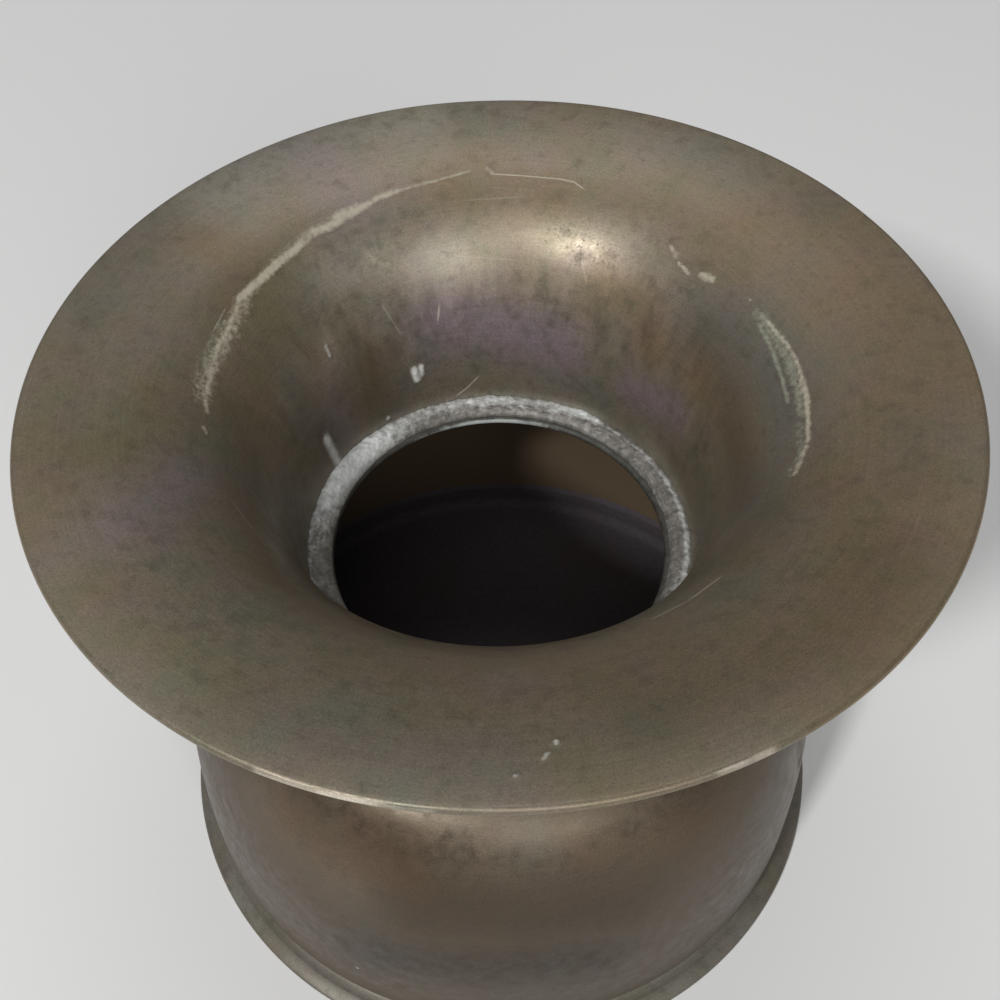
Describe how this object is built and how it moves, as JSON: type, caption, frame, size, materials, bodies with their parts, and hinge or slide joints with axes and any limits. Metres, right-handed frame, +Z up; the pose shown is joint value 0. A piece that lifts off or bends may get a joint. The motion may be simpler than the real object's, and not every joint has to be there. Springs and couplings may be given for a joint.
{
  "type": "spittoon",
  "caption": "Spun brass spittoon with a wide wired saucer rim, a funnel soldered into a bulbous bowl, and a stepped, coved and weighted foot.",
  "frame": {"origin": "centre of the flat underside of the base, on the floor", "axes": "+Z up, along the axis of revolution; X and Y are any two level directions, as the object is round"},
  "size_m": [0.27, 0.27, 0.216],
  "materials": {
    "mouth_brass": "old patina, satin",
    "bowl_brass": "old patina, satin",
    "foot_brass": "old patina, dull",
    "collar_brass": "tinned by solder, dull",
    "inner_brass": "dark tarnish",
    "base_brass": "worn patina",
    "solder": "oxidised tin-lead solder, dull grey",
    "rim_wire": "drawn iron wire",
    "cast_weight": "rough casting"
  },
  "bodies": {
    "root": {"mouth_funnel": "mouth_brass", "rim_wire": "rim_wire", "throat_collar": "collar_brass", "throat_solder": "solder", "body_bowl": "bowl_brass", "floor_pan": "inner_brass", "floor_solder": "solder", "foot_ring": "foot_brass", "foot_solder": "solder", "ballast_weight": "cast_weight", "base_plate": "base_brass", "base_solder": "solder"}
  },
  "joints": []
}
